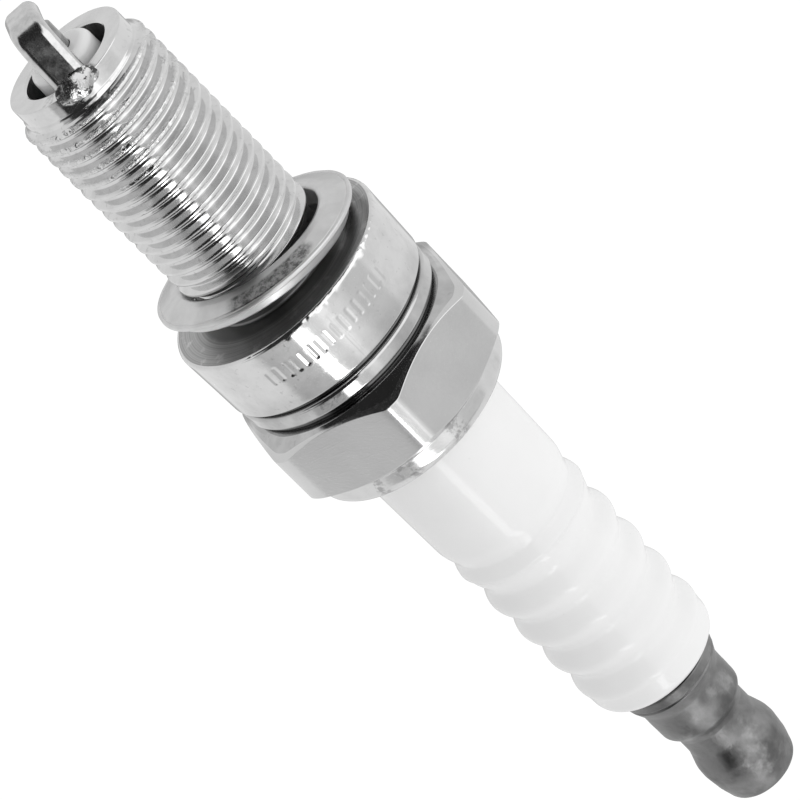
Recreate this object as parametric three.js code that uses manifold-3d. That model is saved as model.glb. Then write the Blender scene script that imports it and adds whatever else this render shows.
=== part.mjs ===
// A 10 mm motorcycle spark plug with a 16 mm hexagon, as fifteen separate pieces.
// Millimetres. Z runs along the plug's axis towards the firing end, and z = 0 is the flat
// shoulder of the shell that the gasket seats against. The hexagon has corners on the Y axis
// and flats on the X axis. The ground electrode stands on the -Y side.
import * as THREE from "three";
import { mergeVertices } from "three/addons/utils/BufferGeometryUtils.js";
import Module from "manifold-3d";

const wasm = await Module();
wasm.setup();

// ---------------------------------------------------------------- driving dimensions

const AXIS_CLEARANCE = 0.05; // between pieces that are pressed or sealed into each other

// shell
const REACH = 19.5; // shoulder to end face
const THREAD_R = 4.9; // M10 x 1, outside
const THREAD_ROOT_R = 4.4;
const THREAD_PITCH = 1;
const THREAD_START = 2.3; // where the thread runs out above the shoulder
const THREAD_END = 18; // where the smooth lead begins
const NECK_R = 4.35; // relief between the thread and the shoulder
const END_FACE_R = 4.2;
const NOSE_BORE_R = 3.05;
const COLLAR_R = 7.8; // at the shoulder
const COLLAR_FOOT_R = 7.66; // next to the groove
const COLLAR_FOOT_Z = -5;
const RING_R = 7.55; // bead between the collar and the hexagon
const RING_Z = -5.85;
const RING_HALF = 0.42;
const GROOVE_R = 7.15;
const HEX_ACROSS_FLATS = 16;
const HEX_TOP_Z = -6.8;
const HEX_FOOT_Z = -11.95;
const HEX_CHAMFER = THREE.MathUtils.degToRad(34); // of the corners, against the end plane
const HEX_FOOT_CHAMFER = THREE.MathUtils.degToRad(34);
const CRIMP_R = 7.5;
const CRIMP_END_Z = -13.95;
const BODY_BORE_R = 6.1; // behind the hexagon

// insulator
const NOSE_END_Z = REACH + 0.7;
const NOSE_R = 2.25;
const NOSE_ROOT_R = 2.75;
const SEAT_Z = 7.6; // the conical seat inside the shell
const MIDDLE_R = 3.4;
const FLANGE_R = 5.9;
const FLANGE_TOP_Z = -2.6;
const FLANGE_FOOT_Z = -8.8;
const NECK_TOP_R = 5.25;
const NECK_FOOT_R = 5.15;
const RIB_FIRST_Z = -25.2;
const RIB_SPACING = 3.07;
const RIB_COUNT = 5;
const RIB_R = 5.15;
const VALLEY_R = 4.75;
const INSULATOR_END_Z = -40.05;
const INSULATOR_END_R = 3.9;
const NOSE_HOLE_R = 1.1;
const CORE_HOLE_R = 1.55;
const CORE_STEP_Z = 8.5;

// conductors
const ELECTRODE_R = 1;
const ELECTRODE_TIP_Z = REACH + 2.5;
const SPARK_GAP = 0.7;
const STRAP_THICK = 1.15;
const STRAP_WIDTH = 2.35;
const STRAP_TURN = THREE.MathUtils.degToRad(-6); // about Z, from the -Y side
const LOWER_SEAL_Z = 4.5;
const RESISTOR_END_Z = -2.6;
const UPPER_SEAL_Z = -5.6;
const STUD_FOOT_Z = -4;
const STUD_THREAD_R = 2; // M4
const STUD_THREAD_PITCH = 0.7;
const STUD_END_Z = -49.6;

// terminal nut
const NUT_BASE_Z = INSULATOR_END_Z - 0.2;
const NUT_BASE_R = 3.78;
const NUT_BULGE_R = 3.26;
const NUT_GROOVE_R = 2.8;
const NUT_TAIL_R = 2.72;
const NUT_END_Z = -52.4;

// gasket: loose on the neck, so it leans
const GASKET_R = 7.1;
const GASKET_HOLE_R = 5.3;
const GASKET_RIM_H = 1.05; // front of the rim above the back face
const GASKET_LIP = 0.5; // thickness of the rim
const GASKET_CROWN_H = 1.6;
const GASKET_Z = 1;
const GASKET_LEAN_X = THREE.MathUtils.degToRad(-3.6);
const GASKET_LEAN_Y = THREE.MathUtils.degToRad(6.1);

// facets round a full circle
const COARSE = 20;
const NOSE = 24;
const MEDIUM = 30;
const FINE = 42;

// ---------------------------------------------------------------- finishes

const metal = (color, roughness) =>
  new THREE.MeshStandardMaterial({ color, roughness, metalness: 1 });
const dull = (color, roughness) =>
  new THREE.MeshStandardMaterial({ color, roughness, metalness: 0 });

const platedSteel = () => metal(0xc9cacc, 0.22);
const satinSteel = () => metal(0xb9bab9, 0.4);
const electrodeNickel = () => metal(0x8e8c88, 0.35);
const castMetal = () => metal(0x7d7d7b, 0.55);
const alumina = () => dull(0xf3f3f1, 0.18);

// ---------------------------------------------------------------- geometry helpers

// A body of revolution about Z from [radius, z] points, given from low z to high z on the
// outside. A hollow body's profile runs on down its inside and closes on itself.
function turned(profile, segments) {
  const points = profile.map(([r, z]) => new THREE.Vector2(r, z));
  return new THREE.LatheGeometry(points, segments).rotateX(Math.PI / 2);
}

// A turned body that is hollow: the outside from low z to high z, then the inside downwards.
function turnedHollow(profile, segments) {
  return turned([...profile, profile[0]], segments);
}

// Points of an arc in the profile's plane, from one angle to another in degrees.
function arc(centreR, centreZ, radius, from, to, steps) {
  return Array.from({ length: steps + 1 }, (_, i) => {
    const angle = THREE.MathUtils.degToRad(from + ((to - from) * i) / steps);
    return [centreR + radius * Math.cos(angle), centreZ + radius * Math.sin(angle)];
  });
}

function solidFrom(geometry) {
  const plain = geometry.clone();
  plain.deleteAttribute("normal");
  plain.deleteAttribute("uv");
  const merged = mergeVertices(plain, 1e-4);
  return new wasm.Manifold(
    new wasm.Mesh({
      numProp: 3,
      vertProperties: merged.attributes.position.array,
      triVerts: new Uint32Array(merged.index.array),
    }),
  );
}

function geometryFrom(solid) {
  const made = solid.getMesh();
  const geometry = new THREE.BufferGeometry();
  geometry.setAttribute("position", new THREE.BufferAttribute(made.vertProperties, 3));
  geometry.setIndex(new THREE.BufferAttribute(made.triVerts, 1));
  geometry.computeVertexNormals();
  return geometry;
}

// A right-hand screw thread as a closed solid rod. Its side is a grid whose rows follow the
// helix, so that few rows give true crests. The rows that pass an end are held at that end,
// where the thread has run out to the core.
function threadedRod({ crestR, rootR, pitch, low, high, segments }) {
  const shape = [
    [0, rootR],
    [0.17, rootR],
    [0.49, crestR],
    [0.66, crestR],
  ]; // share of the pitch, radius
  const runOut = pitch; // over this length the crest grows to its full height
  const firstTurn = -1;
  const turns = Math.ceil((high - low) / pitch) + 1;
  const positions = [];
  const indexOf = new Map();
  const vertex = (x, y, z) => {
    const key = [x, y, z].map((value) => Math.round(value * 1e5)).join(",");
    if (!indexOf.has(key)) {
      indexOf.set(key, positions.length / 3);
      positions.push(x, y, z);
    }
    return indexOf.get(key);
  };
  const sidePoint = (column, row) => {
    const turn = firstTurn + Math.floor(row / shape.length);
    const [share, radius] = shape[row % shape.length];
    const z = low + pitch * (turn + share + column / segments);
    const held = Math.min(high, Math.max(low, z));
    const fade = Math.min(1, (held - low) / runOut, (high - held) / runOut);
    const r = rootR + (radius - rootR) * fade;
    const angle = (2 * Math.PI * (column % segments)) / segments;
    return vertex(r * Math.cos(angle), r * Math.sin(angle), held);
  };
  const triangles = [];
  const face = (a, b, c) => {
    if (a !== b && b !== c && c !== a) triangles.push(a, b, c);
  };
  const rows = (turns + 1) * shape.length;
  for (let row = 0; row < rows; row++) {
    for (let column = 0; column < segments; column++) {
      const a = sidePoint(column, row);
      const b = sidePoint(column + 1, row);
      const c = sidePoint(column + 1, row + 1);
      const d = sidePoint(column, row + 1);
      face(a, b, c);
      face(a, c, d);
    }
  }
  const lowCentre = vertex(0, 0, low);
  const highCentre = vertex(0, 0, high);
  for (let column = 0; column < segments; column++) {
    face(lowCentre, sidePoint(column + 1, 0), sidePoint(column, 0));
    face(highCentre, sidePoint(column, rows), sidePoint(column + 1, rows));
  }
  const geometry = new THREE.BufferGeometry();
  geometry.setAttribute("position", new THREE.Float32BufferAttribute(positions, 3));
  geometry.setIndex(triangles);
  return geometry;
}

// ---------------------------------------------------------------- shell

function hexagonSolid() {
  const cornerR = HEX_ACROSS_FLATS / Math.sqrt(3);
  const outline = new THREE.Shape();
  for (let i = 0; i < 6; i++) {
    const angle = Math.PI / 2 + (i * Math.PI) / 3;
    const [x, y] = [cornerR * Math.cos(angle), cornerR * Math.sin(angle)];
    if (i === 0) outline.moveTo(x, y);
    else outline.lineTo(x, y);
  }
  const length = HEX_TOP_Z - HEX_FOOT_Z;
  const prism = new THREE.ExtrudeGeometry(outline, { depth: length, bevelEnabled: false });
  prism.translate(0, 0, HEX_FOOT_Z);
  const past = cornerR + 0.3;
  const topR = RING_R;
  const footR = HEX_ACROSS_FLATS / 2 - 0.05;
  const drop = (past - topR) * Math.tan(HEX_CHAMFER);
  const footDrop = (past - footR) * Math.tan(HEX_FOOT_CHAMFER);
  const envelope = turned(
    [
      [0, HEX_FOOT_Z - 0.01],
      [footR, HEX_FOOT_Z - 0.01],
      [past, HEX_FOOT_Z + footDrop],
      [past, HEX_TOP_Z - drop],
      [topR, HEX_TOP_Z + 0.01],
      [0, HEX_TOP_Z + 0.01],
    ],
    FINE,
  );
  return solidFrom(prism).intersect(solidFrom(envelope));
}

function shellOutside() {
  const edge = 0.3;
  const collar = [
    [0, CRIMP_END_Z],
    [CRIMP_R - 1.1, CRIMP_END_Z],
    ...arc(CRIMP_R - 0.9, CRIMP_END_Z + 0.9, 0.9, -70, 0, 4),
    [CRIMP_R, HEX_FOOT_Z - 0.25],
    [CRIMP_R + 0.4, HEX_FOOT_Z + 0.05],
    [GROOVE_R, HEX_FOOT_Z + 0.6],
    [GROOVE_R, RING_Z - RING_HALF - 0.1],
    ...arc(RING_R - RING_HALF, RING_Z, RING_HALF, -60, 60, 4),
    [GROOVE_R, RING_Z + RING_HALF + 0.06],
    [GROOVE_R, COLLAR_FOOT_Z],
    [COLLAR_FOOT_R - 0.12, COLLAR_FOOT_Z],
    [COLLAR_FOOT_R, COLLAR_FOOT_Z + 0.12],
    ...arc(COLLAR_R - edge, -edge, edge, 0, 90, 2),
    [0, 0],
  ];
  return solidFrom(turned(collar, FINE));
}

function shellNose() {
  const lead = turned(
    [
      [0, -1],
      [NECK_R, -1],
      [NECK_R, THREAD_START + 0.2],
      [THREAD_ROOT_R - 0.1, THREAD_START + 0.3],
      [THREAD_ROOT_R - 0.1, THREAD_END - 0.3],
      [THREAD_ROOT_R + 0.12, THREAD_END - 0.2],
      [THREAD_ROOT_R + 0.12, REACH - 0.5],
      [END_FACE_R, REACH],
      [0, REACH],
    ],
    NOSE,
  );
  const thread = threadedRod({
    crestR: THREAD_R,
    rootR: THREAD_ROOT_R,
    pitch: THREAD_PITCH,
    low: THREAD_START,
    high: THREAD_END,
    segments: NOSE,
  });
  return solidFrom(lead).add(solidFrom(thread));
}

function shellHollow() {
  const past = 1; // beyond each end, so that the hole runs right through
  const ledgeR = 2.85;
  const ledgeZ = SEAT_Z + 0.9;
  return solidFrom(
    turned(
      [
        [0, CRIMP_END_Z - past],
        [NECK_TOP_R + 0.12, CRIMP_END_Z - past],
        [NECK_TOP_R + 0.12, CRIMP_END_Z + 0.55],
        [BODY_BORE_R, CRIMP_END_Z + 0.95],
        [BODY_BORE_R, FLANGE_TOP_Z + 0.35],
        [MIDDLE_R + 0.15, FLANGE_TOP_Z + 1.5],
        [MIDDLE_R + 0.15, SEAT_Z],
        [ledgeR, SEAT_Z + 0.4],
        [ledgeR, ledgeZ],
        [NOSE_BORE_R, ledgeZ + 0.2],
        [NOSE_BORE_R, REACH + past],
        [0, REACH + past],
      ],
      MEDIUM,
    ),
  );
}

function metalShell() {
  const body = shellOutside().add(hexagonSolid()).add(shellNose());
  return geometryFrom(body.subtract(shellHollow()));
}

// ---------------------------------------------------------------- gasket

// The base plane is at z = 0 here, and the front crown is near the hole.
function gasketRing() {
  const profile = [
    [GASKET_HOLE_R + 0.25, 0],
    [GASKET_R - 0.75, 0],
    [GASKET_R - 0.55, GASKET_RIM_H - GASKET_LIP],
    ...arc(GASKET_R - GASKET_LIP / 2, GASKET_RIM_H - GASKET_LIP / 2, GASKET_LIP / 2, -60, 60, 3),
    [GASKET_R - 0.45, GASKET_RIM_H + 0.08],
    [GASKET_HOLE_R + 0.85, GASKET_CROWN_H - 0.1],
    ...arc(GASKET_HOLE_R + 0.5, GASKET_CROWN_H - 0.5, 0.5, 80, 180, 3),
    [GASKET_HOLE_R, 0.25],
  ];
  return turnedHollow(profile, FINE);
}

// ---------------------------------------------------------------- insulator

function ribs() {
  const points = [];
  for (let i = 0; i < RIB_COUNT; i++) {
    const z = RIB_FIRST_Z - i * RIB_SPACING;
    const half = RIB_SPACING / 2;
    const shrink = i * 0.035;
    points.push([VALLEY_R + (i === 0 ? 0.2 : 0), z + half]);
    for (const share of [0.66, 0, -0.66]) {
      const swell = (RIB_R - VALLEY_R) * Math.sqrt(1 - share * share);
      points.push([VALLEY_R + swell - shrink, z + share * half]);
    }
  }
  return points;
}

function insulatorBody() {
  const lastRibFoot = RIB_FIRST_Z - (RIB_COUNT - 0.55) * RIB_SPACING;
  const endRound = 1.7;
  const outside = [
    [INSULATOR_END_R - 0.5, INSULATOR_END_Z],
    [INSULATOR_END_R - 0.1, INSULATOR_END_Z + 0.12],
    ...arc(RIB_R - 0.3 - endRound, lastRibFoot, endRound, -38, 0, 4),
    ...ribs().reverse(),
    [NECK_FOOT_R, RIB_FIRST_Z + RIB_SPACING * 0.85],
    [NECK_TOP_R, CRIMP_END_Z + 0.2],
    [NECK_TOP_R, FLANGE_FOOT_Z - 0.5],
    [FLANGE_R, FLANGE_FOOT_Z],
    [FLANGE_R, FLANGE_TOP_Z],
    [MIDDLE_R, FLANGE_TOP_Z + 1.2],
    [MIDDLE_R, SEAT_Z - 0.35],
    [NOSE_ROOT_R, SEAT_Z + 0.1],
    [NOSE_R, NOSE_END_Z - 0.9],
    ...arc(NOSE_R - 0.55, NOSE_END_Z - 0.55, 0.55, 15, 90, 3),
  ];
  const inside = [
    [NOSE_HOLE_R, NOSE_END_Z],
    [NOSE_HOLE_R, CORE_STEP_Z],
    [CORE_HOLE_R, CORE_STEP_Z],
    [CORE_HOLE_R, INSULATOR_END_Z],
  ];
  return turnedHollow([...outside, ...inside], MEDIUM);
}

// ---------------------------------------------------------------- electrodes and core

function centerElectrode() {
  const headTop = CORE_STEP_Z - AXIS_CLEARANCE;
  const headFoot = headTop - 1.3;
  const headR = CORE_HOLE_R - AXIS_CLEARANCE;
  const coreR = 0.6;
  return turnedHollow(
    [
      [headR, headFoot],
      [headR, headTop],
      [ELECTRODE_R, headTop],
      [ELECTRODE_R, ELECTRODE_TIP_Z - 0.08],
      [ELECTRODE_R - 0.08, ELECTRODE_TIP_Z],
      [0, ELECTRODE_TIP_Z],
      [0, ELECTRODE_TIP_Z - 1.6],
      [coreR, ELECTRODE_TIP_Z - 1.6],
      [coreR, headFoot],
    ],
    COARSE,
  );
}

function electrodeCore() {
  const low = CORE_STEP_Z - 1.3;
  const high = ELECTRODE_TIP_Z - 1.7;
  return turned(
    [
      [0, low],
      [0.55, low],
      [0.55, high - 0.3],
      [0.3, high],
      [0, high],
    ],
    COARSE,
  );
}

function slug(low, high) {
  const r = CORE_HOLE_R - AXIS_CLEARANCE;
  return turned(
    [
      [0, low],
      [r, low],
      [r, high],
      [0, high],
    ],
    COARSE,
  );
}

function upperGlassSeal() {
  const top = RESISTOR_END_Z - AXIS_CLEARANCE;
  const r = CORE_HOLE_R - AXIS_CLEARANCE;
  const socketR = 1.15;
  const socketTop = STUD_FOOT_Z + AXIS_CLEARANCE;
  return turned(
    [
      [0, socketTop],
      [socketR, socketTop],
      [socketR, UPPER_SEAL_Z],
      [r, UPPER_SEAL_Z],
      [r, top],
      [0, top],
    ],
    COARSE,
  );
}

function terminalStud() {
  const ledgeTop = INSULATOR_END_Z - AXIS_CLEARANCE;
  const ledgeFoot = ledgeTop - 0.5;
  const shank = turned(
    [
      [0, STUD_END_Z],
      [1.3, STUD_END_Z],
      [1.7, STUD_END_Z + 0.35],
      [1.5, STUD_END_Z + 0.45],
      [1.5, ledgeFoot - 0.4],
      [1.7, ledgeFoot],
      [2.5, ledgeFoot],
      [2.5, ledgeTop],
      [1.4, ledgeTop],
      [1.4, UPPER_SEAL_Z - 1],
      [1.1, UPPER_SEAL_Z - 0.6],
      [1.1, STUD_FOOT_Z],
      [0, STUD_FOOT_Z],
    ],
    COARSE,
  );
  const thread = threadedRod({
    crestR: STUD_THREAD_R,
    rootR: 1.72,
    pitch: STUD_THREAD_PITCH,
    low: STUD_END_Z + 0.4,
    high: ledgeFoot - 0.35,
    segments: 12,
  });
  return geometryFrom(solidFrom(shank).add(solidFrom(thread)));
}

// The strap: a leg that rises from the end face, a quarter bend, and an arm over the tip.
function groundElectrode() {
  const undersideZ = ELECTRODE_TIP_Z + SPARK_GAP;
  const topZ = undersideZ + STRAP_THICK;
  const bendIn = 0.9;
  const bendOut = bendIn + STRAP_THICK;
  const outerY = -4.15;
  const innerY = outerY + STRAP_THICK;
  const tipY = 0.35;
  const footZ = REACH + 0.02;
  const profile = new THREE.Shape();
  profile.moveTo(outerY, footZ);
  profile.lineTo(innerY, footZ);
  profile.lineTo(innerY, undersideZ - bendIn);
  profile.absarc(innerY + bendIn, undersideZ - bendIn, bendIn, Math.PI, Math.PI / 2, true);
  profile.lineTo(tipY, undersideZ);
  profile.lineTo(tipY + 0.1, topZ - 0.3);
  profile.lineTo(tipY, topZ);
  profile.lineTo(outerY + bendOut, topZ);
  profile.absarc(outerY + bendOut, topZ - bendOut, bendOut, Math.PI / 2, Math.PI, false);
  const bevel = 0.18;
  const strap = new THREE.ExtrudeGeometry(profile, {
    depth: STRAP_WIDTH - 2 * bevel,
    bevelEnabled: true,
    bevelThickness: bevel,
    bevelSize: bevel,
    bevelOffset: -bevel,
    bevelSegments: 1,
    curveSegments: 8,
  });
  // the shape's x is the plug's y, its y is the plug's z, and its depth is the plug's x
  strap.translate(0, 0, -STRAP_WIDTH / 2 + bevel);
  strap.rotateX(Math.PI / 2).rotateZ(Math.PI / 2);
  return strap;
}

function terminalNut() {
  const holeEndZ = STUD_END_Z - 0.6;
  const endRound = 0.9;
  return turned(
    [
      [0, NUT_END_Z],
      ...arc(NUT_TAIL_R - endRound, NUT_END_Z + endRound, endRound, -80, -5, 4),
      [NUT_BULGE_R - 0.1, NUT_BASE_Z - 8.9],
      [NUT_BULGE_R - 0.12, NUT_BASE_Z - 8.2],
      [NUT_GROOVE_R + 0.06, NUT_BASE_Z - 6.9],
      [NUT_GROOVE_R, NUT_BASE_Z - 6.4],
      [NUT_GROOVE_R + 0.02, NUT_BASE_Z - 5.3],
      [NUT_BULGE_R - 0.2, NUT_BASE_Z - 4.85],
      [NUT_BULGE_R, NUT_BASE_Z - 4.2],
      [NUT_BULGE_R, NUT_BASE_Z - 1.75],
      [NUT_BASE_R, NUT_BASE_Z - 0.8],
      [NUT_BASE_R, NUT_BASE_Z],
      [2.65, NUT_BASE_Z],
      [2.65, NUT_BASE_Z - 0.6],
      [STUD_THREAD_R + 0.1, NUT_BASE_Z - 0.75],
      [STUD_THREAD_R + 0.1, holeEndZ],
      [0, holeEndZ - 0.8],
    ],
    MEDIUM,
  );
}

// ---------------------------------------------------------------- packing

function nosePackingWasher() {
  const top = SEAT_Z + 0.33;
  return turnedHollow(
    [
      [MIDDLE_R + 0.07, SEAT_Z - 0.28],
      [MIDDLE_R + 0.07, SEAT_Z - 0.06],
      [NOSE_ROOT_R + 0.22, top],
      [NOSE_ROOT_R + 0.1, top - 0.08],
    ],
    MEDIUM,
  );
}

function wireRing(centreZ) {
  const radius = 0.33;
  const centreR = (NECK_TOP_R + BODY_BORE_R) / 2;
  return turnedHollow(arc(centreR, centreZ, radius, -180, 135, 7), NOSE);
}

function talcFilling(low, high) {
  return turnedHollow(
    [
      [NECK_TOP_R + 0.06, low],
      [BODY_BORE_R - 0.06, low],
      [BODY_BORE_R - 0.06, high],
      [NECK_TOP_R + 0.06, high],
    ],
    MEDIUM,
  );
}

// ---------------------------------------------------------------- assembly

const plug = new THREE.Group();

function piece(name, geometry, material, parent = plug) {
  const mesh = new THREE.Mesh(geometry, material);
  mesh.name = name;
  parent.add(mesh);
  return mesh;
}

piece("metal_shell", metalShell(), platedSteel());
piece("ground_electrode", groundElectrode(), electrodeNickel()).rotation.z = STRAP_TURN;
piece("insulator", insulatorBody(), alumina());

const gasket = piece("sealing_gasket", gasketRing(), satinSteel());
gasket.position.z = GASKET_Z;
gasket.rotation.set(GASKET_LEAN_X, GASKET_LEAN_Y, 0);

piece("center_electrode", centerElectrode(), electrodeNickel());
piece("center_electrode_core", electrodeCore(), metal(0xb56b42, 0.4));
piece("lower_glass_seal", slug(LOWER_SEAL_Z, CORE_STEP_Z - 1.4), dull(0x3d4038, 0.4));
piece("resistor", slug(RESISTOR_END_Z, LOWER_SEAL_Z - AXIS_CLEARANCE), dull(0x2b2b2d, 0.7));
piece("upper_glass_seal", upperGlassSeal(), dull(0x3d4038, 0.4));
piece("terminal_stud", terminalStud(), satinSteel());
piece("terminal_nut", terminalNut(), castMetal());

const LOWER_RING_Z = FLANGE_FOOT_Z - 0.85;
const UPPER_RING_Z = CRIMP_END_Z + 1.25;
piece("nose_packing_washer", nosePackingWasher(), satinSteel());
piece("lower_packing_ring", wireRing(LOWER_RING_Z), satinSteel());
piece("talc_filling", talcFilling(UPPER_RING_Z + 0.4, LOWER_RING_Z - 0.4), dull(0xe4e0d6, 0.9));
piece("upper_packing_ring", wireRing(UPPER_RING_Z), satinSteel());

export default plug;
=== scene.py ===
"""A 10 mm motorcycle spark plug with a 16 mm hexagon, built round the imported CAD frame.

Lengths in the shape functions are millimetres, and every mesh is scaled to metres when it is
made. Z runs along the plug's axis towards the firing end, and z = 0 is the shell's shoulder.
"""

import math

import bmesh
import bpy
import numpy as np
from mathutils import Matrix, Vector

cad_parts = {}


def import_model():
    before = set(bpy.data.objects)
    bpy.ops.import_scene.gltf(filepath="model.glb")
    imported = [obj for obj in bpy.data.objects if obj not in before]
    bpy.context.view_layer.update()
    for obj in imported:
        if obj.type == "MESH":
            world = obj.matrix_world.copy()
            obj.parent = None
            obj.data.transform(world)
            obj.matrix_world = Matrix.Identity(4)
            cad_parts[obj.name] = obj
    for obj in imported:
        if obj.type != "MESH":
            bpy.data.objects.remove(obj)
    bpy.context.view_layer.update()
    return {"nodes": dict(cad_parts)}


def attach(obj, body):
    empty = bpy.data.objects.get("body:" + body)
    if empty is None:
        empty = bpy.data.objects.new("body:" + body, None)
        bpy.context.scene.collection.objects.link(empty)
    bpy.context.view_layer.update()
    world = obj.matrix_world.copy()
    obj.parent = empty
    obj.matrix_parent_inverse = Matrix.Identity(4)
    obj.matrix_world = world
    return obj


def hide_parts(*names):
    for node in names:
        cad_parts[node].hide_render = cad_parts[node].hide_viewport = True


MM = 0.001
SEED = 7

# shell
REACH = 19.5
THREAD_R = 4.9
THREAD_ROOT_R = 4.4
THREAD_PITCH = 1.0
THREAD_LOW = 2.3
THREAD_HIGH = 18.2
NECK_R = 4.35
SHOULDER_R = 6.2
LEAD_R = 4.3
END_FACE_R = 4.2
NOSE_BORE_R = 3.05
COLLAR_R = 7.8
COLLAR_FOOT_R = 7.66
COLLAR_FOOT_Z = -4.9
BEAD_R = 7.55
BEAD_Z = -5.85
GROOVE_R = 7.15
HEX_FLAT_R = 8.0
HEX_BEVEL_R = 8.95
HEX_TOP_Z = -6.8
HEX_FOOT_Z = -11.95
HEX_CHAMFER = math.radians(34)
CRIMP_R = 7.5
CRIMP_TOP_Z = HEX_FOOT_Z - (HEX_FLAT_R - CRIMP_R) * math.tan(HEX_CHAMFER)
CRIMP_END_Z = -13.95
BODY_BORE_R = 6.1
SEAT_R = 2.85
SEAT_Z = 7.6
EDGE_NICKS = 150
THREAD_DENTS = 240

# the shell's finishes, in the order that main lists them
BRIGHT, SATIN, FLATS, BORE, FACE = range(5)

# roll marks on the collar
TICK_COUNT = 19
TICK_STEP = math.radians(4.8)
TICK_HALF = math.radians(0.95)
TICK_DEPTH = 0.028
TICK_TOP_Z = -1.45
TICK_FOOT_Z = -2.75

# insulator
NOSE_END_Z = REACH + 0.7
NOSE_R = 2.25
MIDDLE_R = 3.4
FLANGE_R = 5.9
FLANGE_FOOT_Z = -8.8
FLANGE_TOP_Z = -2.6
NECK_TOP_R = 5.25
NECK_FOOT_R = 5.15
RIB_FIRST_Z = -25.2
RIB_SPACING = 3.07
RIB_COUNT = 5
RIB_R = 5.17
VALLEY_R = 4.62
INSULATOR_END_Z = -40.05
INSULATOR_END_R = 3.9

# conductors
ELECTRODE_R = 1.0
ELECTRODE_TIP_Z = REACH + 2.5
ELECTRODE_HEAD_R = 1.5
ELECTRODE_HEAD_Z = 8.45
SPARK_GAP = 0.7
STRAP_THICK = 1.15
STRAP_WIDTH = 2.28
STRAP_FOOT_Y = -4.15 + STRAP_THICK / 2
STRAP_TIP_Y = 0.35
STRAP_LEAN = math.radians(11)
STRAP_BEND_R = 1.5
STRAP_CORNER = 0.45
STRAP_EDGE = 0.12
STRAP_TURN = math.radians(-5)
STUD_R = 2.0
STUD_ROOT_R = 1.72
STUD_PITCH = 0.7
STUD_SHANK_R = 1.4
STUD_END_Z = -49.6

# terminal nut
NUT_BASE_Z = INSULATOR_END_Z - 0.2
NUT_END_Z = -52.4
FLOOR_Z = NUT_END_Z - 10.2

# gasket
GASKET_R = 7.2
GASKET_HOLE_R = 5.05
GASKET_Z = 0.95
GASKET_LEAN_X = math.radians(-3.6)
GASKET_LEAN_Y = math.radians(6.1)

# columns round a full circle
BODY_COLUMNS = 450
THREAD_COLUMNS = 150
PIECE_COLUMNS = 240

# the camera, and the directions that the studio is laid out by
CAMERA_AZIMUTH = math.radians(3.3)
CAMERA_ELEVATION = math.radians(27.98)
CAMERA_ROLL = math.radians(44.63)
CAMERA_DISTANCE = 258.67
CAMERA_AIM_Z = -12.63
CAMERA_LENS = 184.65
LIGHT_AIM_Z = -14

rng = np.random.default_rng(SEED)


# ---- profiles and grids


def rounded(*corners):
    """Points of a polyline whose corners are (r, z, fillet radius, steps).

    r and z may be arrays, one value for each column. The result has the shape
    (points, columns, 2), with one column if nothing is an array.
    """
    columns = max(np.size(value) for corner in corners for value in corner[:2])
    places = np.empty((len(corners), columns, 2))
    for i, corner in enumerate(corners):
        places[i, :, 0], places[i, :, 1] = corner[:2]
    points = []
    for i, corner in enumerate(corners):
        fillet = corner[2] if len(corner) > 2 else 0
        steps = corner[3] if len(corner) > 3 else 4
        if fillet == 0 or i in (0, len(corners) - 1):
            points.append(places[i])
            continue
        back = places[i - 1] - places[i]
        ahead = places[i + 1] - places[i]
        back_length = np.linalg.norm(back, axis=-1, keepdims=True)
        ahead_length = np.linalg.norm(ahead, axis=-1, keepdims=True)
        back = back / back_length
        ahead = ahead / ahead_length
        between = np.arccos(np.clip((back * ahead).sum(-1, keepdims=True), -1, 1))
        reach = fillet / np.tan(between / 2)
        reach = np.minimum(reach, 0.49 * np.minimum(back_length, ahead_length))
        radius = reach * np.tan(between / 2)
        middle = back + ahead
        middle = middle / np.linalg.norm(middle, axis=-1, keepdims=True)
        centre = places[i] + middle * radius / np.sin(between / 2)
        start = places[i] + back * reach - centre
        sweep = math.pi - between[..., 0]
        side = np.sign(back[..., 0] * ahead[..., 1] - back[..., 1] * ahead[..., 0])
        for step in range(steps + 1):
            turn = -side * sweep * step / steps
            c, s = np.cos(turn), np.sin(turn)
            x = start[..., 0] * c - start[..., 1] * s
            y = start[..., 0] * s + start[..., 1] * c
            points.append(centre + np.stack([x, y], -1))
    return np.array(points)


def angles(columns):
    """One angle for each column, and the first again at the end, as the seam."""
    return 2 * math.pi * (np.arange(columns + 1) % columns) / columns


def refined(profile, step):
    """The same outline with points added, so that none stand farther apart than the step."""
    made = [profile[:1]]
    for start, end in zip(profile, profile[1:]):
        parts = math.ceil(np.linalg.norm(end - start) / step)
        shares = np.linspace(0, 1, parts + 1)[1:].reshape(-1, *[1] * start.ndim)
        made.append(start + shares * (end - start))
    return np.concatenate(made)


def polar(r, theta, z):
    """Points at a distance from the Z axis and an angle round it."""
    return np.stack([r * np.cos(theta), r * np.sin(theta), z], -1)


def rings(profile, columns):
    """Points of a turned surface: one ring of columns + 1 points for each profile point."""
    profile = np.broadcast_to(profile, (len(profile), columns + 1, 2))
    return polar(profile[..., 0], angles(columns), profile[..., 1])


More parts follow.
